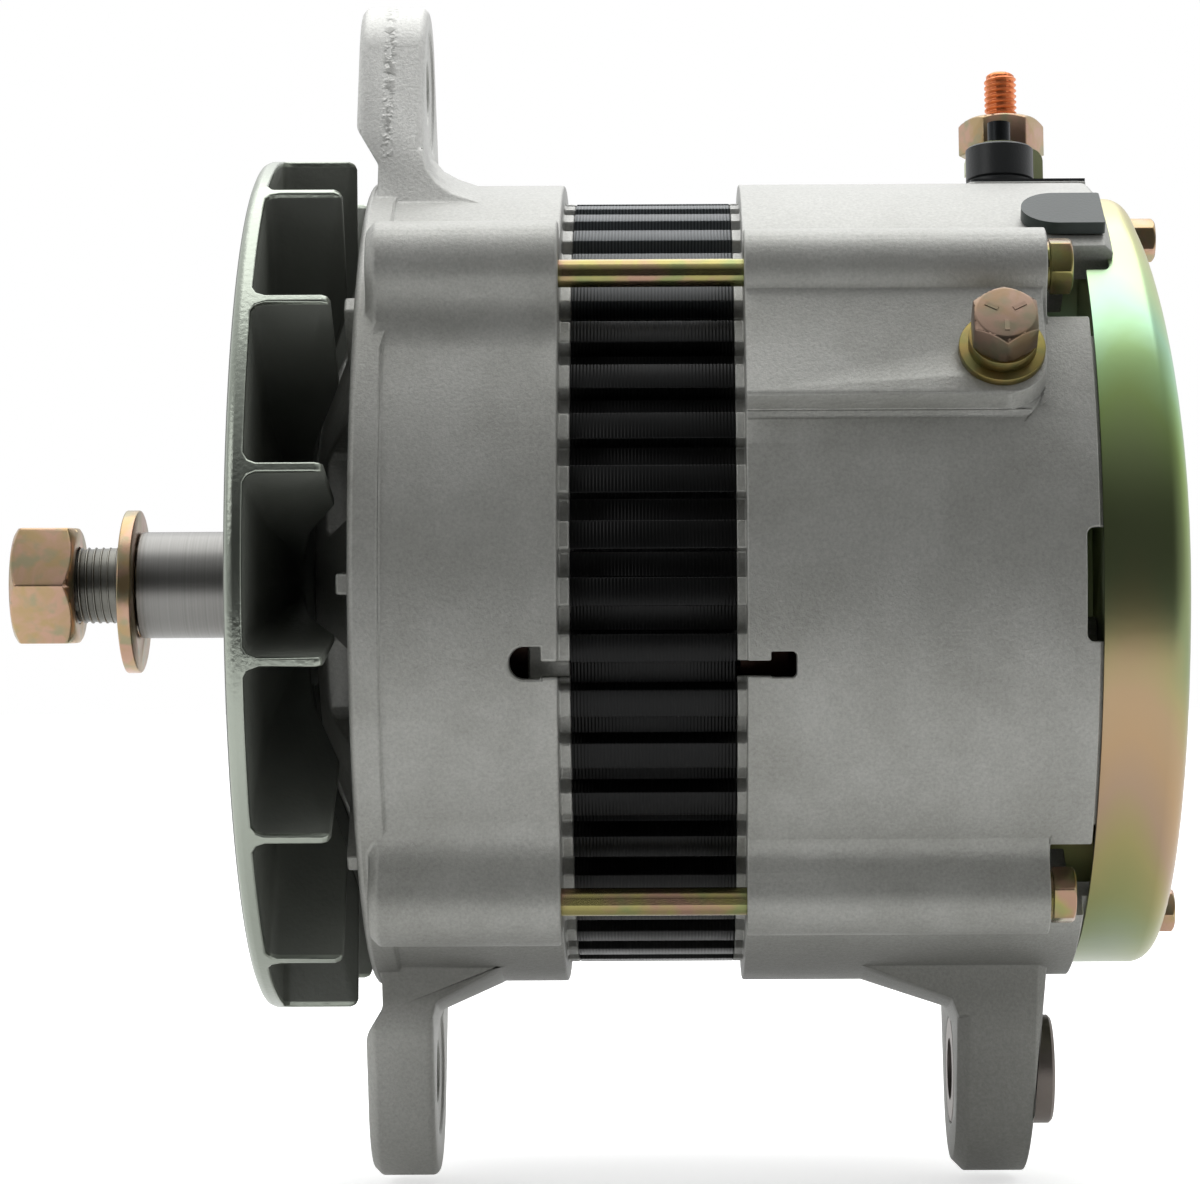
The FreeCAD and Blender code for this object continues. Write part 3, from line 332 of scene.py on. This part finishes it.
def fan_metal():
    """Dark paint over a rough casting, blurred bare metal outside the turned diameter."""
    made, tree = plain_tree("painted_fan")
    place = node(tree, "ShaderNodeTexCoord")
    parts = node(tree, "ShaderNodeSeparateXYZ", {}, {0: place.outputs["Object"]})
    flat = node(tree, "ShaderNodeCombineXYZ", {}, {1: parts.outputs["Y"], 2: parts.outputs["Z"]})
    radius = node(tree, "ShaderNodeVectorMath", {"operation": "LENGTH"}, {0: flat.outputs[0]})
    bare = node(tree, "ShaderNodeMapRange",
                {"From Min": turned_radius, "From Max": turned_radius + 0.0003, "To Max": 1.0},
                {"Value": radius.outputs["Value"]})

    # Paint in patches of 17 mm over a casting grain of 1.1 mm.
    grit = node(tree, "ShaderNodeTexNoise", {"Scale": 900.0, "Detail": 3.0},
                {"Vector": place.outputs["Object"]})
    cloud = node(tree, "ShaderNodeTexNoise", {"Scale": 60.0, "Detail": 4.0},
                 {"Vector": place.outputs["Object"]})
    dark = node(tree, "ShaderNodeMix",
                {"data_type": "RGBA", 6: srgb("#60635d"), 7: srgb("#74776f")},
                {0: cloud.outputs[0]})
    tint = node(tree, "ShaderNodeMix", {"data_type": "RGBA", 7: srgb("#a4aa9f")},
                {0: bare.outputs[0], 6: dark.outputs[2]})
    bump = node(tree, "ShaderNodeBump", {"Strength": 0.35, "Distance": 0.0003},
                {"Height": grit.outputs[0]})
    rough = node(tree, "ShaderNodeMapRange", {"To Min": 0.5, "To Max": 0.29},
                 {"Value": bare.outputs[0]})
    shader = node(tree, "ShaderNodeBsdfPrincipled", {},
                  {"Base Color": tint.outputs[2], "Normal": bump.outputs[0],
                   "Metallic": bare.outputs[0], "Roughness": rough.outputs[0]})
    node(tree, "ShaderNodeOutputMaterial", {}, {"Surface": shader.outputs[0]})
    return made


fan = softened("fan", 0.0004)
round_normals(fan, [(0, 0)])
finish(fan, fan_metal(), "rotor", "fan", "fan")


# Stator: thin steel laminations stacked into a ring with cooling teeth outside, dipped in black
# varnish and clamped between the castings. The lines between laminations are drawn 0.66 mm
# apart, coarser than the real ones, so that they show.
lamination = 0.00066


def lamination_stack():
    """Black varnish with painted light on top, over laminations whose edges show as fine rings."""
    made, tree = plain_tree("varnished_laminations")
    place = node(tree, "ShaderNodeTexCoord")
    parts = node(tree, "ShaderNodeSeparateXYZ", {}, {0: place.outputs["Object"]})
    turns = node(tree, "ShaderNodeMath", {"operation": "MULTIPLY", 1: 2 * math.pi / lamination},
                 {0: parts.outputs["X"]})
    wave = node(tree, "ShaderNodeMath", {"operation": "SINE"}, {0: turns.outputs[0]})

    # Dirt in patches of 11 mm, and grey painted light on the upper teeth.
    dirt = node(tree, "ShaderNodeTexNoise", {"Scale": 90.0, "Detail": 4.0},
                {"Vector": place.outputs["Object"]})
    black = node(tree, "ShaderNodeMix",
                 {"data_type": "RGBA", 6: srgb("#050505"), 7: srgb("#0b0c0c")},
                 {0: dirt.outputs[0]})
    teeth_light_mask = node(tree, "ShaderNodeMapRange", {"From Min": 0.048, "From Max": 0.078},
                {"Value": parts.outputs["Z"]})
    tint = node(tree, "ShaderNodeMix", {"data_type": "RGBA", 7: srgb("#62676a")},
                {0: teeth_light_mask.outputs[0], 6: black.outputs[2]})
    rough = node(tree, "ShaderNodeMapRange", {"To Min": 0.26, "To Max": 0.4},
                 {"Value": dirt.outputs[0]})
    ring = node(tree, "ShaderNodeMapRange",
                {"From Min": -1.0, "From Max": 1.0, "To Min": 0.45, "To Max": 1.35},
                {"Value": wave.outputs[0]})
    lined = node(tree, "ShaderNodeVectorMath", {"operation": "SCALE"},
                 {0: tint.outputs[2], "Scale": ring.outputs[0]})
    bump = node(tree, "ShaderNodeBump", {"Strength": 0.6, "Distance": 0.00007},
                {"Height": wave.outputs[0]})
    shader = node(tree, "ShaderNodeBsdfPrincipled", {"Specular IOR Level": 0.2},
                  {"Base Color": lined.outputs[0], "Roughness": rough.outputs[0],
                   "Normal": bump.outputs[0]})
    node(tree, "ShaderNodeOutputMaterial", {}, {"Surface": shader.outputs[0]})
    return made


finish(softened("stator_core", 0.0002), lamination_stack(), "housing", "lamination", "stator_core")


# Shaft nut and washer, through bolts, earth washers and output nut: steel, cold-formed or
# turned, and zinc-plated. The thin chromate film over the zinc wanders between pale colours.
def plated(name, first, second, third, patch_mm, rough):
    """Soft metal sheen that drifts between three colours over patches of the given size."""
    made, tree = plain_tree(name)
    place = node(tree, "ShaderNodeTexCoord")
    one = node(tree, "ShaderNodeTexNoise",
               {"Scale": 1000.0 / patch_mm, "Detail": 3.0, "Distortion": 0.6},
               {"Vector": place.outputs["Object"]})
    two = node(tree, "ShaderNodeTexNoise", {"Scale": 1700.0 / patch_mm, "Detail": 2.0},
               {"Vector": place.outputs["Object"]})
    step = node(tree, "ShaderNodeMapRange", {"From Min": 0.42, "From Max": 0.58},
                {"Value": one.outputs[0]})
    other = node(tree, "ShaderNodeMapRange", {"From Min": 0.5, "From Max": 0.66},
                 {"Value": two.outputs[0]})
    tint = node(tree, "ShaderNodeMix", {"data_type": "RGBA", 6: srgb(first), 7: srgb(second)},
                {0: step.outputs[0]})
    more = node(tree, "ShaderNodeMix", {"data_type": "RGBA", 7: srgb(third)},
                {0: other.outputs[0], 6: tint.outputs[2]})

    # Zinc crystals, drawn as 0.4 mm.
    fine = node(tree, "ShaderNodeTexNoise", {"Scale": 2500.0, "Detail": 2.0},
                {"Vector": place.outputs["Object"]})
    bump = node(tree, "ShaderNodeBump", {"Strength": 0.12, "Distance": 0.0001},
                {"Height": fine.outputs[0]})
    shader = node(tree, "ShaderNodeBsdfPrincipled", {"Metallic": 0.95, "Roughness": rough},
                  {"Base Color": more.outputs[2], "Normal": bump.outputs[0]})
    node(tree, "ShaderNodeOutputMaterial", {}, {"Surface": shader.outputs[0]})
    return made


pink_zinc = plated("pink_zinc", "#bf9c86", "#b39a72", "#a39a7c", 7.0, 0.3)
gold_zinc = plated("gold_zinc", "#a39a62", "#a88873", "#8f9463", 10.0, 0.24)
olive_zinc = plated("olive_zinc", "#857b45", "#8c7a4c", "#77744a", 9.0, 0.34)
finish(softened("shaft_nut", 0.0003), pink_zinc, "nut", "zinc", "shaft_nut")

# The washer hangs on the thread, below the shaft's axis.
washer_drop = 0.00135
washer = softened("shaft_washer", 0.0003)
round_normals(washer, [(0, -washer_drop), (0, 0)])
finish(washer, pink_zinc, "washer", "zinc", "shaft_washer")

# Between the castings the bolts' shanks are drawn thinner, and lie low in their holes.
bolt_reach = bolt_circle * math.sqrt(0.5)
shank_front = 0.055
shank_radius = 0.0033
drawn_radius = 0.0027
shank_drop = 0.0009
bolts = softened("through_bolts", 0.0002)
for vertex in bolts.data.vertices:
    spot = vertex.co
    axis = Vector((0, math.copysign(bolt_reach, spot.y), math.copysign(bolt_reach, spot.z)))
    away = Vector((0, spot.y, spot.z)) - axis
    if spot.x > shank_front and 0.0031 < away.length < 0.00345:
        thinned = away * (drawn_radius / shank_radius)
        vertex.co = Vector((spot.x, 0, -shank_drop)) + axis + thinned
round_normals(bolts, [(y * bolt_reach, z * bolt_reach - shank_drop)
                      for y in (1, -1) for z in (1, -1)])
finish(bolts, gold_zinc, "housing", "gold", "through_bolts")
finish(softened("earth_washer", 0.0002), olive_zinc, "housing", "zinc", "earth_washer")
finish(softened("earth_spring_washer", 0.0001), olive_zinc, "housing", "zinc",
       "earth_spring_washer")
finish(softened("output_nut", 0.0003), pink_zinc, "housing", "zinc", "output_nut")


# Earth bolt: a hexagon bolt of plated steel, screwed through its two washers into the pad on
# the rear casting. Its forged head carries three raised radial grade marks.
head_place = (Matrix.Rotation(math.radians(55), 4, "X")
              @ Matrix.Translation((0.1458, -0.0078, 0.0983)))
mark_size = (0.0026, 0.0009, 0.0003)
mark_radius = 0.0030


def joined(*parts):
    """Joins pieces into the first of them."""
    alone(parts[0])
    for other in parts[1:]:
        other.select_set(True)
    bpy.ops.object.join()
    return parts[0]


marks = []
for turn in (30, 150, 270):
    bpy.ops.object.select_all(action="DESELECT")
    bpy.ops.mesh.primitive_cube_add(size=1, location=(0, 0, 0))
    mark = bpy.context.object
    mark.data.transform(Matrix.Diagonal((*mark_size, 1)))
    mark.data.transform(Matrix.Translation((mark_radius, 0, 0)))
    mark.data.transform(head_place @ Matrix.Rotation(math.radians(turn), 4, "Z"))
    marks.append(mark)
earth_bolt = joined(softened("earth_bolt", 0.0002), *marks)
brown_zinc = plated("brown_zinc", "#8d7768", "#857059", "#7b7360", 8.0, 0.34)
finish(earth_bolt, brown_zinc, "housing", "zinc", "earth_bolt")


# Rear cover: sheet steel pressed into a shallow dish, zinc-plated under thick iridescent
# chromate, and held by three hexagon screws. Its colour runs in bands from the pale green of
# the top through olive and pink to the green of the bottom.
cover_front = 0.1582
cover_back = 0.1813
rim_x = 0.1645
corner_x = 0.1771
corner_radius = 0.0751


def iridescent_sheet():
    """Colour bands down the height, bent along both rims and blurred by clouds of 45 mm."""
    made, tree = plain_tree("iridescent_zinc")
    place = node(tree, "ShaderNodeTexCoord")
    parts = node(tree, "ShaderNodeSeparateXYZ", {}, {0: place.outputs["Object"]})
    cloud = node(tree, "ShaderNodeTexNoise", {"Scale": 22.0, "Detail": 4.0, "Distortion": 0.8},
                 {"Vector": place.outputs["Object"]})
    drift = node(tree, "ShaderNodeMapRange", {"To Min": -0.012, "To Max": 0.012},
                 {"Value": cloud.outputs[0]})
    across = node(tree, "ShaderNodeMapRange",
                  {"From Min": cover_front, "From Max": cover_back, "To Min": -1.0, "To Max": 1.0},
                  {"Value": parts.outputs["X"]})
    margin = node(tree, "ShaderNodeMath", {"operation": "MULTIPLY"},
                  {0: across.outputs[0], 1: across.outputs[0]})
    rim = node(tree, "ShaderNodeMath", {"operation": "MULTIPLY_ADD", 1: 0.022},
               {0: margin.outputs[0], 2: drift.outputs[0]})
    level = node(tree, "ShaderNodeMath", {"operation": "ADD"},
                 {0: parts.outputs["Z"], 1: rim.outputs[0]})
    share = node(tree, "ShaderNodeMapRange", {"From Min": -0.082, "From Max": 0.082},
                 {"Value": level.outputs[0]})
    bands = node(tree, "ShaderNodeValToRGB", {}, {"Fac": share.outputs[0]})
    ramp = bands.color_ramp
    stops = ((0.0, "#8a9780"), (0.09, "#8b966a"), (0.14, "#929562"), (0.2, "#a39a68"),
             (0.27, "#ac937a"), (0.34, "#b29675"), (0.4, "#b09777"), (0.46, "#a79c72"),
             (0.54, "#8f9a70"), (0.64, "#8d9c6c"), (0.72, "#90a668"), (0.78, "#98b880"),
             (0.84, "#a8d0b0"), (0.9, "#bccfa0"), (0.96, "#cfc78e"), (1.0, "#cbbd86"))
    for i, (spot, code) in enumerate(stops):
        stop = ramp.elements[i] if i < 2 else ramp.elements.new(spot)
        stop.position = spot
        stop.color = srgb(code)

    # A faint rolled grain of 2.4 mm.
    fine = node(tree, "ShaderNodeTexNoise", {"Scale": 420.0, "Detail": 3.0},
                {"Vector": place.outputs["Object"]})
    bump = node(tree, "ShaderNodeBump", {"Strength": 0.08, "Distance": 0.0002},
                {"Height": fine.outputs[0]})
    shader = node(tree, "ShaderNodeBsdfPrincipled", {"Metallic": 0.95, "Roughness": 0.3},
                  {"Base Color": bands.outputs[0], "Normal": bump.outputs[0]})
    node(tree, "ShaderNodeOutputMaterial", {}, {"Surface": shader.outputs[0]})
    return made


def pressed_normals(piece):
    """Corner normals of the cover, on its outside those of its band, rounded corner and end."""
    mesh = piece.data
    normals = [n.vector.copy() for n in mesh.corner_normals]
    for face in mesh.polygons:
        for loop in face.loop_indices:
            spot = mesh.vertices[mesh.loops[loop].vertex_index].co
            radius = math.hypot(spot.y, spot.z)
            along = max(spot.x - corner_x, 0.0)
            share = max(radius - corner_radius, 0.0) / max(radius, corner_radius)
            ideal = Vector((along, share * spot.y, share * spot.z))
            if ideal.length > 0.0001 and ideal.normalized().dot(face.normal) > 0.9:
                normals[loop] = ideal.normalized()
    return normals


# The cover sits a little crooked: its upper side leans forward, more toward the top.
full_lean = 0.0040
lean_height = 0.068
lean_limit = 0.0042
cover = softened("rear_cover", 0.0003, 30)
outside = pressed_normals(cover)
for vertex in cover.data.vertices:
    lean = min(full_lean * (max(vertex.co.z, 0.0) / lean_height) ** 2, lean_limit)
    vertex.co.x -= lean * min(max((vertex.co.x - rim_x) / (corner_x - rim_x), 0.0), 1.0)
cover.data.normals_split_custom_set(outside)
finish(cover, iridescent_sheet(), "housing", "cover", "rear_cover")

# The upper screw's head reaches down to the leaning end.
head_reach = 0.0038
screws = softened("cover_screws", 0.0002)
for vertex in screws.data.vertices:
    if vertex.co.z > 0.05 and 0.1805 < vertex.co.x < 0.1818:
        vertex.co.x -= head_reach
finish(screws, pink_zinc, "housing", "zinc", "cover_screws")


# Everything else: the foot's split bush, the terminals and plug, and the pieces inside, each
# turned, moulded, pressed or wound, and fixed as its CAD node shows. They keep their CAD mesh
# and get the material of what they are made of.
def plain(name, first, second, patch_mm, rough, metal, grain_mm=0.5, grain=0.2):
    """Two close colours in patches, with a fine grain."""
    made, tree = plain_tree(name)
    place = node(tree, "ShaderNodeTexCoord")
    patch = node(tree, "ShaderNodeTexNoise", {"Scale": 1000.0 / patch_mm, "Detail": 3.0},
                 {"Vector": place.outputs["Object"]})
    tint = node(tree, "ShaderNodeMix", {"data_type": "RGBA", 6: srgb(first), 7: srgb(second)},
                {0: patch.outputs[0]})
    fine = node(tree, "ShaderNodeTexNoise", {"Scale": 1000.0 / grain_mm, "Detail": 2.0},
                {"Vector": place.outputs["Object"]})
    bump = node(tree, "ShaderNodeBump", {"Strength": grain, "Distance": 0.0002},
                {"Height": fine.outputs[0]})
    shader = node(tree, "ShaderNodeBsdfPrincipled", {"Metallic": metal, "Roughness": rough},
                  {"Base Color": tint.outputs[2], "Normal": bump.outputs[0]})
    node(tree, "ShaderNodeOutputMaterial", {}, {"Surface": shader.outputs[0]})
    return made


looks = {
    # Light grey with a blurred shine.
    "steel": plain("ground_steel", "#c9c8c5", "#b3b2ae", 12, 0.38, 1.0),
    # Brownish grey, oiled and unplated.
    "bush": plain("plain_steel", "#8a827c", "#736c67", 9, 0.42, 0.9),
    # Greenish black with a soft sheen.
    "rubber": plain("grey_rubber", "#2b3331", "#3a4542", 14, 0.42, 0.0),
    # Near black and satin, as moulded.
    "insulator": plain("black_insulator", "#1f2122", "#2b2d2e", 5, 0.4, 0.0),
    # Bright orange metal.
    "copper": plain("copper", "#f29a68", "#e08450", 4, 0.36, 0.9),
    # Pale green film over a stamped strap.
    "tin": plain("plated_strap", "#c9cfa2", "#bcc493", 4, 0.35, 0.45),
    # Blue-black metal.
    "post": plain("blackened_steel", "#2c2e30", "#202224", 3, 0.35, 0.8),
    # Pink and straw, as on the shaft nut.
    "zinc": pink_zinc,
    # Red-brown wire under varnish, in ridges of 1.2 mm, painted dark as painted shade in the
    # slots.
    "winding": plain("varnished_copper", "#44281c", "#2f1c14", 3, 0.35, 0.6, 1.2, 0.8),
    # Light and mirror-like.
    "bearing": plain("bearing_steel", "#b7b7b5", "#a6a6a4", 8, 0.22, 1.0),
    # Grey sheet with a soft shine.
    "shield": plain("pressed_steel", "#a2a2a0", "#8d8d8b", 10, 0.35, 1.0),
    # Dark grey and dull.
    "iron": plain("machined_iron", "#716f6d", "#5f5d5b", 9, 0.45, 0.9),
    # Warm grey with a soft shine.
    "alloy": plain("stainless_alloy", "#aaa8a2", "#99978f", 8, 0.35, 1.0),
    # Pale and slightly dull.
    "plate": plain("aluminium_plate", "#b5b7b7", "#a4a6a6", 15, 0.42, 0.9),
    # Black and matt.
    "plastic": plain("black_moulding", "#1e1e1f", "#29292a", 6, 0.5, 0.0),
}


# Shaft and output stud: turned from steel and from copper, with cut threads. Each CAD cylinder
# is thinned to the thread's root, and a helical ridge is wound round it and joined to it.
shaft_crest = 0.0080
shaft_root = 0.0071
shaft_pitch = 0.0015
thread_end = -0.0274
stud_crest = 0.0035
stud_root = 0.0030
stud_pitch = 0.00125


def threaded(piece, place, crest, root, pitch, start, end):
    """Thins a copy to the root between two heights along its axis, and winds a ridge round it."""
    away = place.inverted()
    for vertex in piece.data.vertices:
        spot = away @ vertex.co
        radius = math.hypot(spot.x, spot.y)
        if start - 0.002 < spot.z < end + 0.0001 and root < radius < crest + 0.0001:
            share = root / radius
            vertex.co = place @ Matrix.Diagonal((share, share, 1, 1)) @ spot
    half = pitch * 0.48
    ridge = bpy.data.meshes.new("ridge")
    ridge.from_pydata([(root - 0.0001, 0, -half), (crest - 0.00005, 0, -half * 0.12),
                       (crest - 0.00005, 0, half * 0.12), (root - 0.0001, 0, half)],
                      [(0, 1), (1, 2), (2, 3)], [])
    wound = bpy.data.objects.new("ridge", ridge)
    bpy.context.scene.collection.objects.link(wound)
    alone(wound)
    screw = wound.modifiers.new("thread", "SCREW")
    screw.axis = "Z"
    screw.screw_offset = pitch
    screw.iterations = int((end - start - pitch) / pitch)
    screw.steps = 40
    screw.render_steps = 40
    bpy.ops.object.modifier_apply(modifier="thread")
    wound.data.transform(place @ Matrix.Translation((0, 0, start + half)))
    bpy.ops.object.mode_set(mode="EDIT")
    bpy.ops.mesh.select_all(action="SELECT")
    bpy.ops.mesh.normals_make_consistent(inside=False)
    bpy.ops.object.mode_set(mode="OBJECT")
    bpy.ops.object.shade_smooth_by_angle(angle=math.radians(35))
    return joined(piece, wound)


def shaft_metal():
    """Ground steel, faint turning marks, a dark oiled threaded end with painted shade in the
    roots.
    """
    made, tree = plain_tree("turned_steel")
    place = node(tree, "ShaderNodeTexCoord")
    parts = node(tree, "ShaderNodeSeparateXYZ", {}, {0: place.outputs["Object"]})

    # Turning marks every 0.5 mm.
    rings = node(tree, "ShaderNodeTexNoise",
                 {"noise_dimensions": "1D", "Scale": 2200.0, "Detail": 3.0},
                 {"W": parts.outputs["X"]})
    bare = node(tree, "ShaderNodeMix",
                {"data_type": "RGBA", 6: srgb("#979693"), 7: srgb("#7f7e7b")},
                {0: rings.outputs[0]})

    # Painted shade darkens the film between the ridges.
    flat = node(tree, "ShaderNodeCombineXYZ", {}, {1: parts.outputs["Y"], 2: parts.outputs["Z"]})
    radius = node(tree, "ShaderNodeVectorMath", {"operation": "LENGTH"}, {0: flat.outputs[0]})
    root_shade_mask = node(tree, "ShaderNodeMapRange", {"From Min": 0.0079, "From Max": 0.0074},
                {"Value": radius.outputs["Value"]})
    film = node(tree, "ShaderNodeMix",
                {"data_type": "RGBA", 6: srgb("#85847d"), 7: srgb("#3c3c38")},
                {0: root_shade_mask.outputs[0]})
    threads = node(tree, "ShaderNodeMath", {"operation": "LESS_THAN", 1: thread_end},
                   {0: parts.outputs["X"]})
    tint = node(tree, "ShaderNodeMix", {"data_type": "RGBA"},
                {0: threads.outputs[0], 6: bare.outputs[2], 7: film.outputs[2]})
    bump = node(tree, "ShaderNodeBump", {"Strength": 0.12, "Distance": 0.0001},
                {"Height": rings.outputs[0]})
    shader = node(tree, "ShaderNodeBsdfPrincipled", {"Metallic": 1.0, "Roughness": 0.38},
                  {"Base Color": tint.outputs[2], "Normal": bump.outputs[0]})
    node(tree, "ShaderNodeOutputMaterial", {}, {"Surface": shader.outputs[0]})
    return made


along_shaft = Matrix.Rotation(math.radians(90), 4, "Y")
shaft = softened("rotor_shaft", 0.0)
round_normals(shaft, [(0, 0)])
shaft = threaded(shaft, along_shaft, shaft_crest, shaft_root, shaft_pitch, -0.0518, -0.0276)
finish(shaft, shaft_metal(), "rotor", "steel", "rotor_shaft")

stud_place = (Matrix.Rotation(math.radians(-8.5), 4, "X")
              @ Matrix.Translation((0.1549, 0.010, 0)))
stud = softened("output_stud", 0.0)
stud = threaded(stud, stud_place, stud_crest, stud_root, stud_pitch, 0.1016, 0.1120)
finish(stud, looks["copper"], "housing", "copper", "output_stud")

# The looks go on every CAD node that no finished piece replaces.
for entry in frame["record"]["subparts"]:
    thing = frame["nodes"][entry["node"]]
    if entry["material_slot"] in looks and not thing.hide_render:
        thing.data.materials.clear()
        thing.data.materials.append(looks[entry["material_slot"]])
